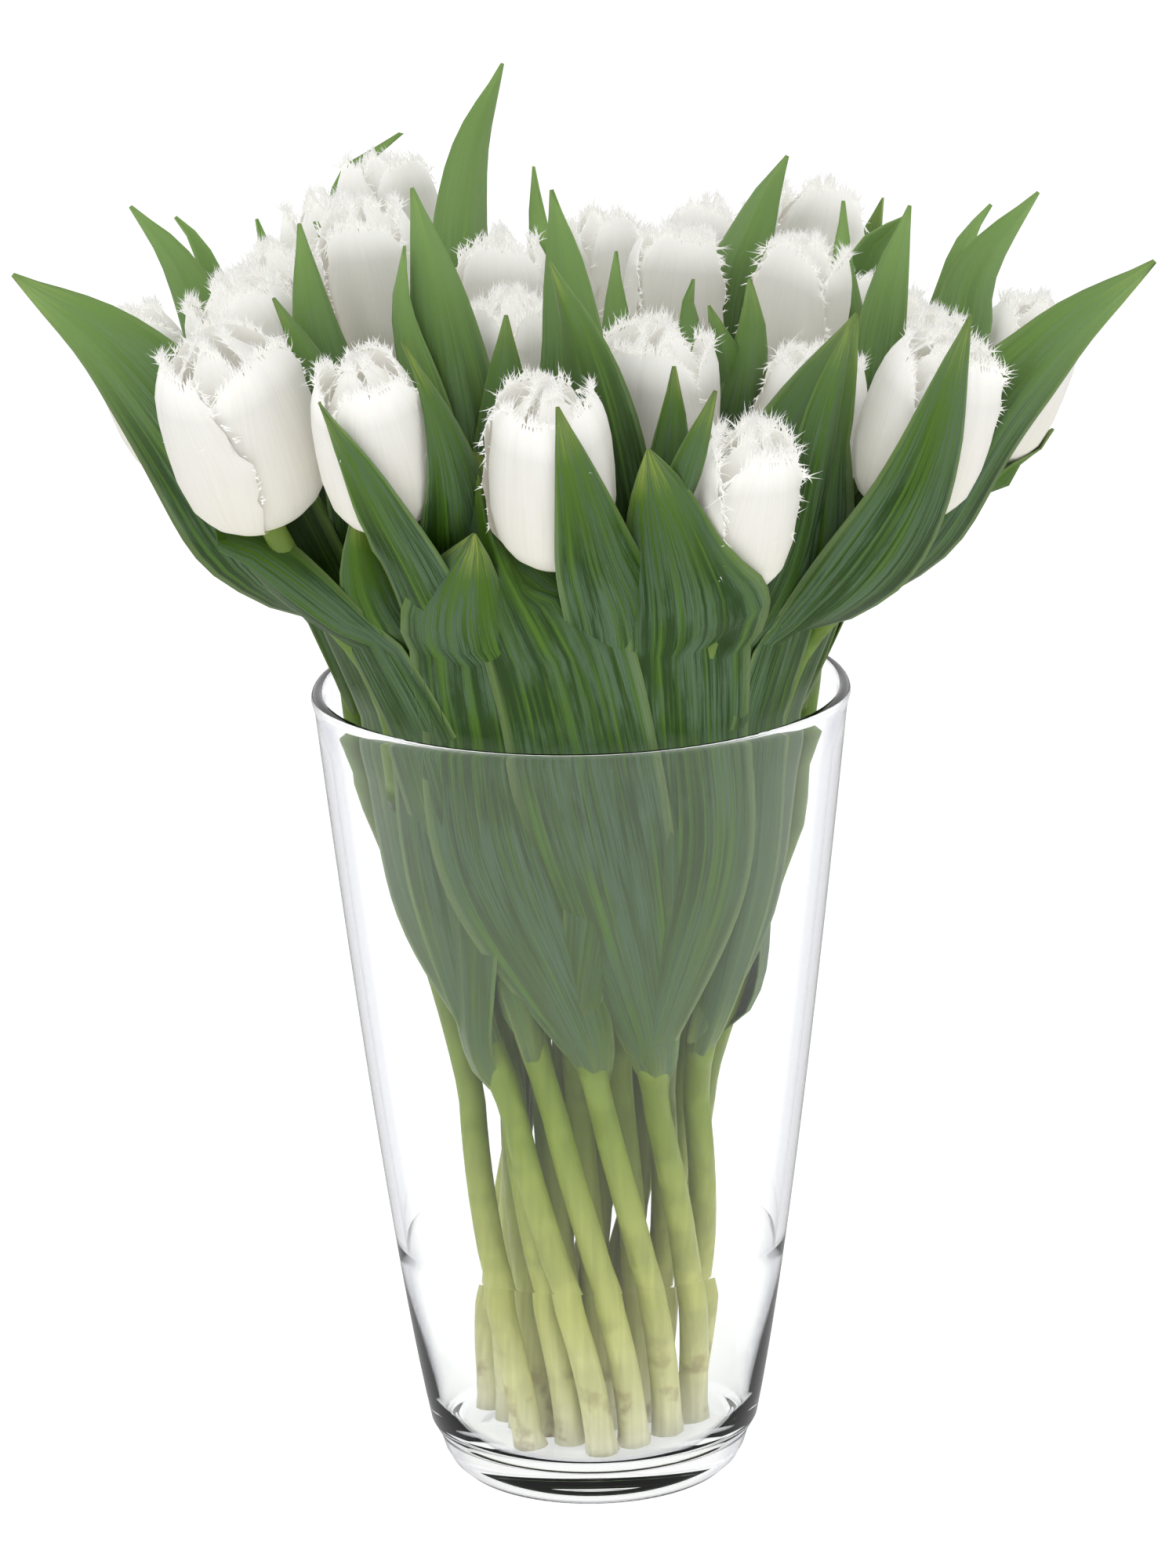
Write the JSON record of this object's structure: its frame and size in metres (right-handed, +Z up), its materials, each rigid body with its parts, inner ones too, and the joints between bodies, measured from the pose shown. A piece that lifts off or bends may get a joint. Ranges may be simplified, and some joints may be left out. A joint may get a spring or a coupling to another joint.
{
  "type": "vase of fringed tulips",
  "caption": "Bunch of white fringed tulips with long blue-green leaves, standing in water in a tapered clear glass vase",
  "frame": {"origin": "centre of the vase's foot, on the surface it stands on", "axes": "+Z is up along the vase's axis, +X is to the right in the picture, +Y is away from the camera"},
  "size_m": [0.4096, 0.3386, 0.5265],
  "materials": {
    "glass": "clear blown glass, polished",
    "water": "clear water",
    "petal": "soft matt white petal with fine lengthwise lines and a fringed edge",
    "green": "waxy blue-green leaf, paler green stem"
  },
  "bodies": {
    "root": {"bloom_a": "petal", "bloom_b": "petal", "bloom_c": "petal", "bloom_d": "petal", "bloom_e": "petal", "bloom_f": "petal", "bloom_g": "petal", "bloom_h": "petal", "bloom_i": "petal", "bloom_j": "petal", "bloom_k": "petal", "bloom_l": "petal", "bloom_m": "petal", "bloom_n": "petal", "bloom_o": "petal", "bloom_p": "petal", "bloom_q": "petal", "bloom_r": "petal", "bloom_s": "petal", "bloom_t": "petal", "bloom_u": "petal", "bloom_v": "petal", "bloom_w": "petal", "bloom_x": "petal", "foliage": "green", "glass_vase": "glass", "leafy_stem_1": "green", "leafy_stem_10": "green", "leafy_stem_11": "green", "leafy_stem_12": "green", "leafy_stem_2": "green", "leafy_stem_3": "green", "leafy_stem_4": "green", "leafy_stem_5": "green", "leafy_stem_6": "green", "leafy_stem_7": "green", "leafy_stem_8": "green", "leafy_stem_9": "green", "water": "water"}
  },
  "joints": []
}
